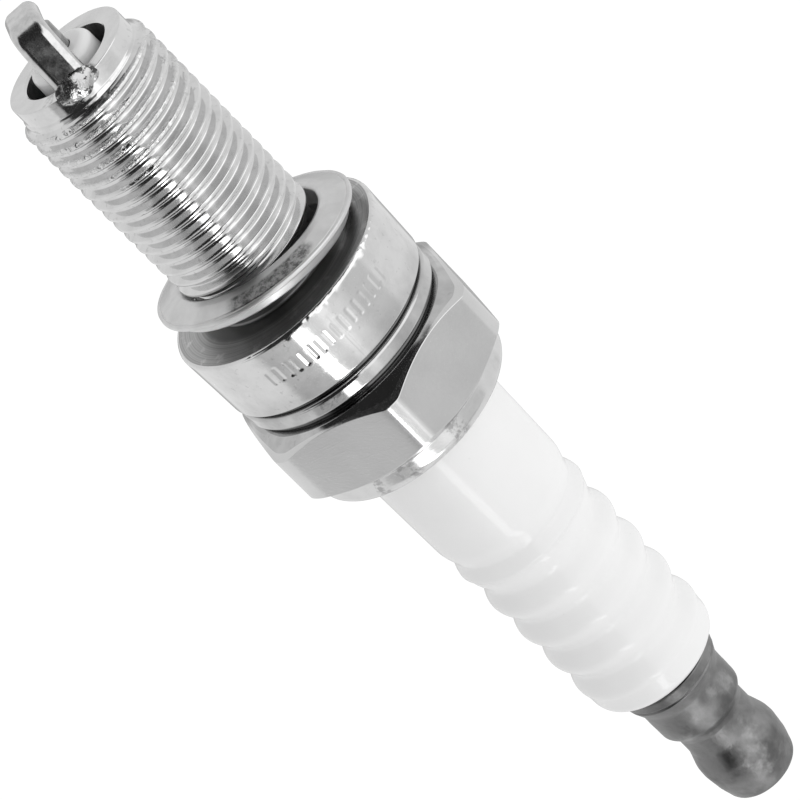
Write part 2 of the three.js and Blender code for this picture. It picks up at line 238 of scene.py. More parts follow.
def make_piece(name, blocks, finishes, closed=False):
    """A mesh object from blocks of rings, welded where points meet.

    Each block is (rings, finish number). Blocks may differ in their number of columns by a
    whole factor, and the strip between two such blocks is made of many-sided faces.
    """
    places, faces, face_finish = [], [], []
    ring_list = []
    for block, finish in blocks:
        for ring in block:
            ring_list.append((len(places), len(ring) - 1, finish))
            places.extend(ring)
    pairs = list(zip(ring_list, ring_list[1:]))
    if closed:
        pairs.append((ring_list[-1], ring_list[0]))
    for (low, low_n, _), (high, high_n, finish) in pairs:
        count = min(low_n, high_n)
        low_step, high_step = low_n // count, high_n // count
        for j in range(count):
            bottom = [low + j * low_step + k for k in range(low_step + 1)]
            top = [high + j * high_step + k for k in range(high_step + 1)]
            faces.append(bottom + top[::-1])
            face_finish.append(finish)
    places = np.array(places, float)
    keys = np.round(places * 1e5).astype(np.int64)
    _, first, inverse = np.unique(keys, axis=0, return_index=True, return_inverse=True)
    inverse = inverse.ravel()
    kept, kept_finish = [], []
    for face, finish in zip(faces, face_finish):
        welded = [int(inverse[v]) for v in face]
        slim = [v for k, v in enumerate(welded) if v != welded[k - 1]]
        if len(slim) > 2:
            kept.append(slim)
            kept_finish.append(finish)
    mesh = bpy.data.meshes.new(name)
    mesh.from_pydata((places[first] * MM).tolist(), [], kept)
    for finish in finishes:
        mesh.materials.append(finish)
    mesh.polygons.foreach_set("material_index", np.array(kept_finish, np.int32))
    mesh.validate()
    smooth_by_area(mesh)
    return linked(name, mesh)


def linked(name, data):
    """An object in the scene, made of a mesh, a lamp or a camera."""
    made = bpy.data.objects.new(name, data)
    bpy.context.scene.collection.objects.link(made)
    return made


def smooth_by_area(mesh):
    """Smooth shading with normals weighted by area, so flats stay flat beside fillets."""
    mesh.polygons.foreach_set("use_smooth", np.ones(len(mesh.polygons), bool))
    mesh.update()
    normals = np.empty(len(mesh.polygons) * 3)
    areas = np.empty(len(mesh.polygons))
    sides = np.empty(len(mesh.polygons), np.int32)
    corners = np.empty(len(mesh.loops), np.int32)
    mesh.polygons.foreach_get("normal", normals)
    mesh.polygons.foreach_get("area", areas)
    mesh.polygons.foreach_get("loop_total", sides)
    mesh.loops.foreach_get("vertex_index", corners)
    weighted = normals.reshape(-1, 3) * areas[:, None]
    total = np.zeros((len(mesh.vertices), 3))
    np.add.at(total, corners, np.repeat(weighted, sides, axis=0))
    total /= np.maximum(np.linalg.norm(total, axis=1, keepdims=True), 1e-20)
    mesh.normals_split_custom_set_from_vertices(total.tolist())


def noise_field(count, low, high):
    """Soft unevenness: random plane waves of low to high radians per millimetre, summed."""
    directions = rng.normal(size=(count, 3))
    directions /= np.linalg.norm(directions, axis=1, keepdims=True)
    waves = directions * rng.uniform(low, high, (count, 1))
    phases = rng.uniform(0, 2 * math.pi, count)

    def at(points):
        total = np.zeros(points.shape[:-1])
        for wave, phase in zip(waves, phases):
            total += np.sin(points @ wave + phase)
        return total / math.sqrt(count)

    return at


def push_out(points, amount):
    """Moves points away from the Z axis by amount."""
    r = np.linalg.norm(points[..., :2], axis=-1)
    scale = (r + amount) / np.maximum(r, 1e-9)
    moved = points.copy()
    moved[..., :2] *= scale[..., None]
    return moved


def dented(points, dents):
    """Points pressed towards the axis round each dent, which is (place, width, depth)."""
    amount = np.zeros(points.shape[:-1])
    for place, width, depth in dents:
        away = np.linalg.norm(points - place, axis=-1) / width
        amount -= depth * np.exp(-away * away)
    return push_out(points, amount)


def smooth_step(x):
    x = np.clip(x, 0, 1)
    return x * x * (3 - 2 * x)


# ---- shell


def hexagon_radius(theta):
    """Radius of the hexagon's outline, whose corners are cut by small flats and eased."""
    sector = math.pi / 3
    from_corner = (theta + math.pi / 2 + sector / 2) % sector - sector / 2
    flat = HEX_FLAT_R / np.cos(sector / 2 - np.abs(from_corner))
    bevel = HEX_BEVEL_R / np.cos(from_corner)
    ease = 0.07
    return -ease * np.log(np.exp(-flat / ease) + np.exp(-bevel / ease))


def tick_depth(theta, z):
    """Depth of the short rolled marks on the collar, which fade towards both ends."""
    centre = TICK_COUNT // 2
    turned = (theta + math.pi / 2 + math.pi) % (2 * math.pi) - math.pi
    index = np.round(turned / TICK_STEP)
    across = smooth_step(1.7 - 1.4 * np.abs(turned - index * TICK_STEP) / TICK_HALF)
    fade = smooth_step((centre + 1.2 - np.abs(index)) / 4)
    ramp = 0.16
    along = smooth_step((TICK_TOP_Z - z) / ramp) * smooth_step((z - TICK_FOOT_Z) / ramp)
    return TICK_DEPTH * across * fade * along


def crimp_profile():
    """The rolled edge that holds the insulator, up to the hexagon's foot."""
    return rounded(
        (NECK_TOP_R + 0.3, CRIMP_END_Z + 0.02),
        (NECK_TOP_R + 0.6, CRIMP_END_Z),
        (CRIMP_R, CRIMP_END_Z, 0.95, 12),
        (CRIMP_R + 0.03, CRIMP_TOP_Z, 0.12, 3),
        (HEX_FLAT_R, HEX_FOOT_Z),
    )[:-1]


def hexagon_profile():
    """The flats between two cones, with an outline of its own for each column."""
    r_hex = hexagon_radius(angles(BODY_COLUMNS))
    z_top = HEX_TOP_Z - (r_hex - BEAD_R) * math.tan(HEX_CHAMFER)
    z_foot = HEX_FOOT_Z + (r_hex - HEX_FLAT_R) * math.tan(HEX_CHAMFER)
    return rounded(
        (np.full_like(r_hex, CRIMP_R), CRIMP_TOP_Z),
        (r_hex, z_foot, 0.07, 4),
        (r_hex, z_foot * 0.67 + z_top * 0.33),
        (r_hex, z_foot * 0.33 + z_top * 0.67),
        (r_hex, z_top, 0.07, 4),
        (BEAD_R * 0.35 + r_hex * 0.65, HEX_TOP_Z * 0.35 + z_top * 0.65),
        (BEAD_R, HEX_TOP_Z),
    )[1:-1]


def neck_profile():
    """The rounded bead between two grooves, from the hexagon to the collar."""
    bead_low, bead_high = BEAD_Z - 0.52, BEAD_Z + 0.52
    return rounded(
        (HEX_FLAT_R, HEX_TOP_Z - 0.26),
        (BEAD_R + 0.1, HEX_TOP_Z, 0.12, 5),
        (GROOVE_R, HEX_TOP_Z + 0.12, 0.14, 6),
        (GROOVE_R, bead_low - 0.06, 0.1, 4),
        (BEAD_R, bead_low, 0.45, 9),
        (BEAD_R, bead_high, 0.45, 9),
        (GROOVE_R, bead_high + 0.06, 0.1, 4),
        (GROOVE_R, COLLAR_FOOT_Z - 0.1, 0.14, 6),
        (COLLAR_FOOT_R - 0.02, COLLAR_FOOT_Z, 0.16, 4),
    )[1:-1]


def collar_profile():
    """The collar, which widens a little upwards, with closer points where the marks fade."""
    heights = [COLLAR_FOOT_Z + 0.3, -4.1, -3.4]
    heights += list(np.linspace(TICK_FOOT_Z - 0.08, TICK_FOOT_Z + 0.22, 5))
    heights += list(np.linspace(TICK_TOP_Z - 0.22, TICK_TOP_Z + 0.08, 5))
    heights += [-0.9, -0.62, -0.48]
    slope = (COLLAR_R - COLLAR_FOOT_R) / -COLLAR_FOOT_Z
    return rounded(
        (COLLAR_FOOT_R - 0.35, COLLAR_FOOT_Z),
        (COLLAR_FOOT_R, COLLAR_FOOT_Z, 0.14, 4),
        *[(COLLAR_FOOT_R + slope * (z - COLLAR_FOOT_Z), z) for z in heights],
        (COLLAR_R, 0, 0.32, 6),
        (SHOULDER_R, 0),
    )[1:-1]


def body_block():
    """The outside from the crimped end to the shoulder, a little uneven, marked and nicked."""
    uneven = noise_field(14, 0.5, 2.2)
    rough_turned = noise_field(24, 1.5, 5.0)
    theta = angles(BODY_COLUMNS)
    nicks = edge_nicks()
    shoulder = rounded((COLLAR_R - 0.5, 0), (SHOULDER_R, 0))
    made = []
    for profile, finish in (
        (crimp_profile(), SATIN),
        (hexagon_profile(), FLATS),
        (neck_profile(), BRIGHT),
        (collar_profile(), BRIGHT),
        (shoulder, FACE),
    ):
        points = rings(profile, BODY_COLUMNS)
        in_groove = smooth_step((COLLAR_FOOT_Z - points[..., 2]) / 0.4)
        swell = 0.004 * uneven(points) + 0.007 * in_groove * rough_turned(points)
        if finish == BRIGHT:
            swell -= tick_depth(theta, points[..., 2]) + scratch_depth(theta, points[..., 2])
            points = dented(points, nicks)
        if finish != FLATS:
            points = push_out(points, swell)
        made.append((points, finish))
    return made


def edge_nicks():
    """Wear on the collar's front edge, as (place, width, depth)."""
    nicks = []
    for _ in range(EDGE_NICKS):
        turn = rng.normal(-0.8, 0.6)
        width = rng.uniform(0.06, 0.13)
        depth = rng.uniform(0.01, 0.035)
        nicks.append((polar(COLLAR_R - 0.05, turn, rng.normal(-0.12, 0.07)), width, depth))
    return nicks


def scratch_depth(theta, z):
    """A long shallow scratch across the collar, along the axis."""
    place = -math.pi / 2 + CAMERA_AZIMUTH + 0.065
    half, depth, ramp = math.radians(0.35), 0.02, 0.5
    turned = (theta - place + math.pi) % (2 * math.pi) - math.pi
    across = smooth_step(1.5 - np.abs(turned) / half)
    along = smooth_step((z - COLLAR_FOOT_Z) / ramp) * smooth_step((-0.6 - z) / ramp)
    return depth * across * along


def thread_profile(crest, root):
    """One pitch of a 60 degree thread as (radius, share of the pitch), eased at its edges.

    Two points on each flank hold its direction, so that the easing stays at the edges.
    """
    low, high = root + 0.2 * (crest - root), root + 0.8 * (crest - root)
    return rounded(
        (crest, -0.32),
        (root, -0.041, 0.08, 2),
        (root, 0.191, 0.08, 2),
        (low, 0.249),
        (high, 0.412),
        (crest, 0.47, 0.07, 2),
        (crest, 0.68, 0.07, 2),
        (high, 0.738),
        (low, 0.901),
        (root, 0.959),
    )[1:-1, 0]


def thread_rings(crest, root, pitch, low, high, run_out, columns):
    """Rings that follow a right-hand helix, held between two heights where it has run out."""
    shape = thread_profile(crest, root)
    theta = angles(columns)
    share = np.arange(columns + 1) / columns
    made = []
    for turn in range(-2, math.ceil((high - low) / pitch) + 1):
        for radius, part in shape:
            z = low + pitch * (turn + part + share)
            held = np.clip(z, low, high)
            fade = smooth_step(np.minimum((held - low) / run_out, (high - held) / run_out))
            r = root + (radius - root) * fade
            made.append(polar(r, theta, held))
    return np.array(made)


def thread_dents():
    """Nicks in the first turns, most of them near the firing end, as (place, width, depth)."""
    dents = []
    for _ in range(THREAD_DENTS):
        z = THREAD_HIGH - 0.5 - abs(rng.normal(0, 3.4))
        turn = rng.uniform(0, 2 * math.pi)
        width = rng.uniform(0.08, 0.18)
        depth = rng.uniform(0.03, 0.1)
        dents.append((polar(THREAD_R, turn, z), width, depth))
    return dents


def nose_block():
    """The neck, the thread and the smooth lead, from the shoulder to the end face."""
    neck = rounded(
        (SHOULDER_R - 0.6, 0),
        (NECK_R, 0, 0.2, 4),
        (NECK_R, 1.6),
        (THREAD_ROOT_R, THREAD_LOW),
    )
    lead = rounded(
        (THREAD_ROOT_R, THREAD_HIGH),
        (LEAD_R, THREAD_HIGH + 0.12, 0.1, 2),
        (LEAD_R, REACH, 0.08, 4),
        (END_FACE_R - 0.4, REACH),
    )[:-1]
    thread = thread_rings(
        THREAD_R, THREAD_ROOT_R, THREAD_PITCH, THREAD_LOW, THREAD_HIGH, 0.5, THREAD_COLUMNS
    )
    dents = thread_dents()
    uneven = noise_field(16, 1.0, 5.0)
    neck, lead = rings(neck, THREAD_COLUMNS), rings(lead, THREAD_COLUMNS)
    made = []
    for points, finish in ((neck, FACE), (thread, BRIGHT), (lead, BRIGHT)):
        points = dented(points, dents)
        made.append((push_out(points, 0.004 * uneven(points)), finish))
    return made


def bore_block():
    """The end face and the inside of the shell, down to the crimped end."""
    face = rounded(
        (END_FACE_R - 0.4, REACH),
        (NOSE_BORE_R + 0.12, REACH, 0.1, 3),
        (NOSE_BORE_R, REACH - 0.12, 0.1, 3),
        (NOSE_BORE_R, REACH - 1),
    )[:-1]
    bore = rounded(
        (NOSE_BORE_R, REACH - 1),
        (NOSE_BORE_R, SEAT_Z + 1.1),
        (SEAT_R, SEAT_Z + 0.9),
        (SEAT_R, SEAT_Z + 0.4),
        (MIDDLE_R + 0.15, SEAT_Z),
        (MIDDLE_R + 0.15, FLANGE_TOP_Z + 1.5),
        (BODY_BORE_R, FLANGE_TOP_Z + 0.35),
        (BODY_BORE_R, CRIMP_END_Z + 0.95),
        (NECK_TOP_R + 0.12, CRIMP_END_Z + 0.55),
        (NECK_TOP_R + 0.12, CRIMP_END_Z + 0.06),
    )
    return [(rings(face, THREAD_COLUMNS), SATIN), (rings(bore, THREAD_COLUMNS), BORE)]


def metal_shell(finishes):
    blocks = body_block() + nose_block() + bore_block()
    return make_piece("shell", blocks, finishes, closed=True)


# ---- gasket


def sealing_gasket(finishes):
    """A folded ring with a thin lip, a dished face and a rolled inner edge."""
    profile = rounded(
        (GASKET_HOLE_R + 0.3, 0),
        (GASKET_R - 0.72, 0, 0.16, 4),
        (GASKET_R - 0.55, 0.71, 0.12, 3),
        (GASKET_R, 0.74, 0.12, 5),
        (GASKET_R, 1.07, 0.14, 6),
        (GASKET_R - 0.2, 1.1, 0.05, 3),
        (GASKET_R - 0.25, 1.05, 0.03, 3),
        (GASKET_R - 0.32, 1.13, 0.08, 3),
        (GASKET_HOLE_R + 0.85, 1.52, 1.0, 8),
        (GASKET_HOLE_R + 0.36, 1.62, 0.3, 4),
        (GASKET_HOLE_R, 1.5, 0.3, 8),
        (GASKET_HOLE_R, 0.12, 0.2, 4),
        (GASKET_HOLE_R + 0.3, 0),
    )[:-1]
    points = rings(profile, PIECE_COLUMNS)
    uneven = noise_field(10, 0.3, 1.1)
    fine = noise_field(24, 4.0, 9.0)
    points = push_out(points, 0.03 * uneven(points) + 0.004 * fine(points))
    points[..., 2] += 0.02 * uneven(points + 9.0) + 0.004 * fine(points + 5.0)
    lean = Matrix.Rotation(GASKET_LEAN_X, 3, "X") @ Matrix.Rotation(GASKET_LEAN_Y, 3, "Y")
    points = points @ np.array(lean).T + np.array([0, 0, GASKET_Z])
    return make_piece("gasket_ring", [(points, 0)], finishes, closed=True)


# ---- insulator


def rib_points():
    """The ribbed length from its foot to its top, as rounded swellings between valleys."""
    points = []
    steps = 18
    first_rise, taper = 0.15, 0.035
    for i in reversed(range(RIB_COUNT)):
        z = RIB_FIRST_Z - i * RIB_SPACING
        valley = VALLEY_R + (first_rise if i == 0 else 0)
        first = 6 if i == RIB_COUNT - 1 else 0
        for step in range(first, steps):
            share = -1 + 2 * step / steps
            swell = (RIB_R - valley) * (0.5 + 0.5 * math.cos(math.pi * share)) ** 0.8
            edge = valley if share > 0 else VALLEY_R
            points.append((edge + swell - i * taper, z + share * RIB_SPACING / 2))
    return points


def insulator_body(finishes):
    """One ceramic body with its bore, slightly wavy where it stands out of the shell."""
    last_foot = RIB_FIRST_Z - (RIB_COUNT - 0.55) * RIB_SPACING
    tip_bore_r, bore_r = ELECTRODE_R + 0.03, ELECTRODE_R + 0.1
    stud_bore_r, head_z = ELECTRODE_HEAD_R + 0.05, ELECTRODE_HEAD_Z + 0.05
    outline = [
        (INSULATOR_END_R - 0.5, INSULATOR_END_Z),
        (INSULATOR_END_R, INSULATOR_END_Z + 0.05, 0.2, 4),
        (RIB_R - 0.32, last_foot - 0.6, 2.72, 12),
        *rib_points(),
        (NECK_FOOT_R, RIB_FIRST_Z + RIB_SPACING * 0.85, 3.0, 6),
        (NECK_TOP_R, CRIMP_END_Z - 1),
        (NECK_TOP_R, FLANGE_FOOT_Z - 0.5),
        (FLANGE_R, FLANGE_FOOT_Z, 0.2, 3),
        (FLANGE_R, FLANGE_TOP_Z, 0.2, 3),
        (MIDDLE_R, FLANGE_TOP_Z + 1.2, 0.2, 3),
        (MIDDLE_R, SEAT_Z - 0.35, 0.1, 3),
        (SEAT_R - 0.1, SEAT_Z + 0.1, 0.1, 3),
        (NOSE_R + 0.02, NOSE_END_Z - 1.2),
        (NOSE_R, NOSE_END_Z, 0.7, 10),
        (tip_bore_r, NOSE_END_Z, 0.06, 3),
        (tip_bore_r, NOSE_END_Z - 1.5),
        (bore_r, NOSE_END_Z - 1.7),
        (bore_r, head_z),
        (stud_bore_r, head_z),
        (stud_bore_r, INSULATOR_END_Z),
    ]
    points = rings(rounded(*outline), PIECE_COLUMNS)
    uneven = noise_field(12, 0.25, 0.9)
    points = push_out(points, 0.015 * uneven(points) * (points[..., 2] < CRIMP_END_Z))
    return make_piece("insulator_body", [(points, 0)], finishes, closed=True)


# ---- electrodes


def center_electrode(finishes):
    """The nickel sheath, from its head on the insulator's step to the tip, hollow for the core."""
    core_r, head_foot = 0.6, ELECTRODE_HEAD_Z - 1.3
    core_top = ELECTRODE_TIP_Z - 1.6
    points = rounded(
        (core_r, head_foot),
        (ELECTRODE_HEAD_R, head_foot, 0.1, 3),
        (ELECTRODE_HEAD_R, ELECTRODE_HEAD_Z, 0.1, 3),
        (ELECTRODE_R, ELECTRODE_HEAD_Z),
        (ELECTRODE_R, ELECTRODE_TIP_Z, 0.1, 4),
        (0.02, ELECTRODE_TIP_Z),
        (0.02, core_top),
        (core_r, core_top),
    )
    return make_piece("electrode_tip", [(rings(points, 96), 0)], finishes, closed=True)


def strap_spine():
    """The strap's middle line as (y, z), up the leg, round the bend and over, with headings."""
    middle_z = ELECTRODE_TIP_Z + SPARK_GAP + STRAP_THICK / 2
    foot = np.array([STRAP_FOOT_Y, REACH - 0.05])
    rise = np.array([2.4 * math.tan(STRAP_LEAN), 0])
    leg_top = np.array([STRAP_FOOT_Y, middle_z - 0.9 * STRAP_BEND_R]) + rise
    straight, turns = 10, 18
    spine = list(np.linspace(foot, leg_top, straight))
    heading = [math.pi / 2 - STRAP_LEAN] * straight
    centre = leg_top + STRAP_BEND_R * np.array([math.cos(STRAP_LEAN), -math.sin(STRAP_LEAN)])
    for angle in np.linspace(math.pi - STRAP_LEAN, math.pi / 2, turns + 1)[1:]:
        spine.append(centre + STRAP_BEND_R * np.array([math.cos(angle), math.sin(angle)]))
        heading.append(angle - math.pi / 2)
    end = np.array([STRAP_TIP_Y - STRAP_CORNER, spine[-1][1]])
    spine += list(np.linspace(spine[-1], end, straight + 1)[1:])
    heading += [0.0] * straight
    spine = np.array(spine)
    spine[:, 1] += middle_z - spine[-1, 1]
    spine[0, 1] = foot[1]
    return spine, heading


def ground_electrode(finishes):
    """The strap: a section with round corners, swept along its middle line to a rounded tip."""
    spine, heading = strap_spine()
    section = strap_section(STRAP_WIDTH, STRAP_THICK, 0.53, 10)
    made = []
    for centre, angle in zip(spine, heading):
        out = np.array([-math.sin(angle), math.cos(angle)])
        made.append(np.column_stack([section[:, 0], centre + section[:, 1:2] * out]))
    for turn in np.radians([15, 30, 42, 52, 60, 67, 74, 82, 90]):
        to_tip = STRAP_CORNER * (1 - math.sin(turn))
        narrow = 1 - STRAP_CORNER * (1 - math.cos(turn)) / (STRAP_WIDTH / 2)
        sunk = max(STRAP_EDGE - to_tip, 0)
        thin = 1 - (STRAP_EDGE - math.sqrt(STRAP_EDGE**2 - sunk**2)) / (STRAP_THICK / 2)
        y = np.full(len(section), STRAP_TIP_Y - to_tip)
        z = spine[-1][1] + section[:, 1] * thin
        made.append(np.column_stack([section[:, 0] * narrow, y, z]))
    foot_cap = made[0].copy()
    foot_cap[:, 0] *= 0.02
    foot_cap[:, 1] = STRAP_FOOT_Y + (foot_cap[:, 1] - STRAP_FOOT_Y) * 0.02
    points = np.array([foot_cap] + made)
    uneven = noise_field(20, 0.8, 3.5)
    points[1:, :, 1] += (0.01 * uneven(points))[1:]
    points[1:, :, 0] += (0.006 * uneven(points + 3.0))[1:]
    points = points @ np.array(Matrix.Rotation(STRAP_TURN, 3, "Z")).T
    strap = make_piece("ground_strap", [(points, 0)], finishes)
    close_ends(strap)
    return strap


def strap_section(width, thick, corner, steps):
    """A closed outline with round corners, as (across, outwards) points."""
    points = []
    for k, (sx, sy) in enumerate(((1, 1), (-1, 1), (-1, -1), (1, -1))):
        for step in range(steps + 1):
            angle = math.pi / 2 * (k + step / steps)
            x = sx * (width / 2 - corner) + corner * math.cos(angle)
            y = sy * (thick / 2 - corner) + corner * math.sin(angle)
            points.append((x, y))
    points.append(points[0])
    return np.array(points)


def close_ends(made):
    """Fills the small open loops at both ends of a swept piece and turns its faces out."""
    shape = bmesh.new()
    shape.from_mesh(made.data)
    loose = [edge for edge in shape.edges if edge.is_boundary]
    bmesh.ops.holes_fill(shape, edges=loose)
    bmesh.ops.recalc_face_normals(shape, faces=shape.faces)
    shape.to_mesh(made.data)
    shape.free()
    smooth_by_area(made.data)


def weld_bead(finishes):
    """Rough weld metal where the strap meets the shell's end."""
    columns, rows = 72, 40
    half_wide, half_long, proud = 1.7, 0.85, 0.16
    turn = STRAP_TURN - math.pi / 2
    centre_z = REACH - 0.2
    rough = noise_field(26, 2.0, 9.0)
    coarse = noise_field(10, 1.0, 2.6)
    theta = angles(columns)
    made = []
    for i in range(rows + 1):
        tilt = -math.pi / 2 + math.pi * i / rows
        across = half_wide * math.cos(tilt) * np.cos(theta)
        along = half_long * math.cos(tilt) * np.sin(theta)
        out = np.full(columns + 1, proud * math.sin(tilt))
        local = np.stack([across, along, out], -1)
        lump = 1 + 0.1 * coarse(local) + 0.06 * rough(local)
        local = local * lump[:, None]
        radius = LEAD_R - 0.04 + local[:, 2] + 0.03 * rough(local * 1.5 + 7.0) * math.cos(tilt)
        made.append(polar(radius, turn + local[:, 0] / LEAD_R, centre_z + local[:, 1]))
    return make_piece("weld_bead", [(np.array(made), 0)], finishes)


# ---- terminal


def terminal_nut(finishes):
    """The barrel nut: its outline from the end over two swellings to the rim, and its hole."""
    base, end = NUT_BASE_Z, NUT_END_Z
    hole_r, hole_end = STUD_R + 0.1, STUD_END_Z - 0.6
    profile = rounded(
        (0.02, end + 0.02),
        (1.95, end, 0.3, 4),
        (2.7, end + 0.45, 0.6, 6),
        (3.02, end + 1.7, 1.5, 5),
        (3.17, base - 9.1, 1.2, 6),
        (3.12, base - 8.35, 1.8, 9),
        (2.72, base - 7.0, 1.3, 7),
        (2.71, base - 5.45, 0.35, 5),
        (2.9, base - 4.95, 0.3, 4),
        (3.24, base - 4.4, 0.4, 6),
        (3.26, base - 2.0, 0.8, 5),
        (3.68, base - 1.0, 0.1, 3),
        (3.6, base - 0.9, 0.03, 2),
        (3.6, base - 0.82, 0.03, 2),
        (3.76, base - 0.72, 0.08, 3),
        (3.78, base - 0.02, 0.1, 3),
        (2.65, base, 0.05, 2),
        (2.65, base - 0.6, 0.05, 2),
        (hole_r, base - 0.75),
        (hole_r, hole_end),
        (0.02, hole_end - 0.8),
    )
    points = rings(refined(profile, 0.3), PIECE_COLUMNS)
    outside = (np.linalg.norm(points[..., :2], axis=-1) > 2.3) & (points[..., 2] < base - 0.3)
    uneven = noise_field(14, 0.5, 1.6)
    pitted = noise_field(30, 2.5, 7.0)
    points = push_out(points, (0.014 * uneven(points) + 0.008 * pitted(points)) * outside)
    points = dented(points, nut_dents())
    return make_piece("nut", [(points, 0)], finishes, closed=True)


def nut_dents():
    """Small knocks on the two swellings, as (place, width, depth)."""
    swelling_r, shallow = 3.2, 0.35
    dents = []
    for turn, down, width, depth in (
        (-92, 3.1, 0.5, 0.09),
        (-100, 3.4, 0.3, 0.07),
        (-82, 8.1, 0.55, 0.1),
        (-88, 9.0, 0.35, 0.09),
        (-70, 8.6, 0.4, 0.08),
        (-110, 8.9, 0.7, 0.07),
        (40, 3.0, 0.6, 0.09),
        (150, 8.6, 0.6, 0.1),
        (200, 2.8, 0.4, 0.08),
        (75, 9.2, 0.5, 0.08),
    ):
        place = polar(swelling_r, math.radians(turn), NUT_BASE_Z - down)
        dents.append((place, width, shallow * depth))
    return dents


def terminal_stud(finishes):
    """The stud: its foot in the glass, its ledge on the insulator and its M4 thread."""
    ledge_r, ledge_top = 2.5, INSULATOR_END_Z - 0.05
    ledge_foot = ledge_top - 0.5
    root_r, shank_r, foot_r, foot_z = STUD_ROOT_R, STUD_SHANK_R, 1.1, -4.0
    low, high = STUD_END_Z + 0.4, ledge_foot - 0.35
    columns = 72
    end = rounded((0.02, STUD_END_Z), (1.35, STUD_END_Z, 0.1, 3), (root_r, low))
    thread = thread_rings(STUD_R, root_r, STUD_PITCH, low, high, 0.4, columns)
    shank = rounded(
        (root_r, high),
        (root_r, ledge_foot, 0.1, 3),
        (ledge_r, ledge_foot, 0.1, 3),
        (ledge_r, ledge_top, 0.1, 3),
        (shank_r, ledge_top),
        (shank_r, foot_z - 2.6),
        (foot_r, foot_z - 2.2),
        (foot_r, foot_z),
        (0.02, foot_z),
    )
    blocks = [(rings(end, columns), 0), (thread, 0), (rings(shank, columns), 0)]
    stud = make_piece("stud", blocks, finishes)
    close_ends(stud)
    return stud


# ---- materials


class Nodes:
    """Short calls that build the node tree of a material or a world."""

    def __init__(self, owner, coordinates):
        owner.use_nodes = True
        self.owner = owner
        self.tree = owner.node_tree
        self.coordinates = self.node("TexCoord").outputs[coordinates]

    def node(self, kind, inputs=(), **settings):
        """A new node with its settings and inputs."""
        made = self.tree.nodes.new("ShaderNode" + kind)
        for name, value in settings.items():
            setattr(made, name, value)
        self.fill(made, dict(inputs))
        return made

    def fill(self, node, inputs):
        """Gives a node's inputs, by name or number, their values or the outputs they follow."""
        for key, value in inputs.items():
            if isinstance(value, bpy.types.NodeSocket):
                self.tree.links.new(value, node.inputs[key])
            else:
                node.inputs[key].default_value = value

    def mapped(self, scale, offset=(0, 0, 0)):
        inputs = {"Vector": self.coordinates, "Scale": scale, "Location": offset}
        return self.node("Mapping", inputs).outputs["Vector"]

    def noise(self, scale, detail=4, rough=0.6, vector=None, distortion=0):
        inputs = {"Scale": scale, "Detail": detail, "Roughness": rough, "Distortion": distortion}
        inputs["Vector"] = self.coordinates if vector is None else vector
        return self.node("TexNoise", inputs).outputs["Fac"]

    def line_noise(self, value, scale, detail):
        """Noise that changes with one value only, for turned lines."""
        inputs = {"W": value, "Scale": scale, "Detail": detail}
        return self.node("TexNoise", inputs, noise_dimensions="1D").outputs["Fac"]

    def math(self, operation, a, b=0.0, c=0.0):
        return self.node("Math", {0: a, 1: b, 2: c}, operation=operation).outputs[0]

    def plus(self, a, b):
        return self.math("ADD", a, b)

    def minus(self, a, b):
        return self.math("SUBTRACT", a, b)

    def times(self, product, *others):
        for other in others:
            product = self.math("MULTIPLY", product, other)
        return product

    def blend(self, share, a, b):
        """The number a where the share is 0, and b where it is 1."""
        return self.plus(a, self.times(share, self.minus(b, a)))

    def mix(self, share, a, b):
        """The colour a where the share is 0, and b where it is 1."""
        inputs = {"Factor": share, 6: a, 7: b}
        return self.node("Mix", inputs, data_type="RGBA").outputs[2]

    def span(self, value, low, high, to_low=0.0, to_high=1.0):
        """A soft step from to_low, where the value is low, to to_high, where it is high."""
        inputs = dict(enumerate((value, low, high, to_low, to_high)))
        return self.node("MapRange", inputs, interpolation_type="SMOOTHSTEP").outputs[0]

    def span_mm(self, value, low, high, *to):
        """The same soft step between two lengths in millimetres."""
        return self.span(value, low * MM, high * MM, *to)

    def along(self, vector):
        """How far the place lies along a vector."""
        inputs = {0: self.coordinates, 1: vector}
        return self.node("VectorMath", inputs, operation="DOT_PRODUCT").outputs["Value"]

    def axis(self, name):
        return self.node("SeparateXYZ", {0: self.coordinates}).outputs[name]

    def radius(self):
        """Distance from the Z axis."""
        squares = [self.math("POWER", self.axis(name), 2.0) for name in "XY"]
        return self.math("SQRT", self.plus(*squares))

    def azimuth(self):
        """Angle round the Z axis, from -Y towards +X."""
        return self.math("ARCTAN2", self.axis("X"), self.times(self.axis("Y"), -1.0))

    def bump(self, height, strength, distance, normal=None):
        inputs = {"Height": height, "Strength": strength, "Distance": distance * MM}
        if normal is not None:
            inputs["Normal"] = normal
        return self.node("Bump", inputs).outputs["Normal"]

    def shade(self, inputs):
        self.fill(self.tree.nodes["Principled BSDF"], inputs)

    def shaded(self, color, roughness, normal, metallic=1.0):
        """The finished material, which is a metal unless it is told otherwise."""
        self.shade({"Base Color": color, "Metallic": metallic})
        self.shade({"Roughness": roughness, "Normal": normal})
        return self.owner


def material(name):
    """The nodes of a new material, laid out by the object's own coordinates."""
    return Nodes(bpy.data.materials.new(name), "Object")


def grey(value, warm=0.0):
    return (value * (1 + warm), value, value * (1 - warm), 1)


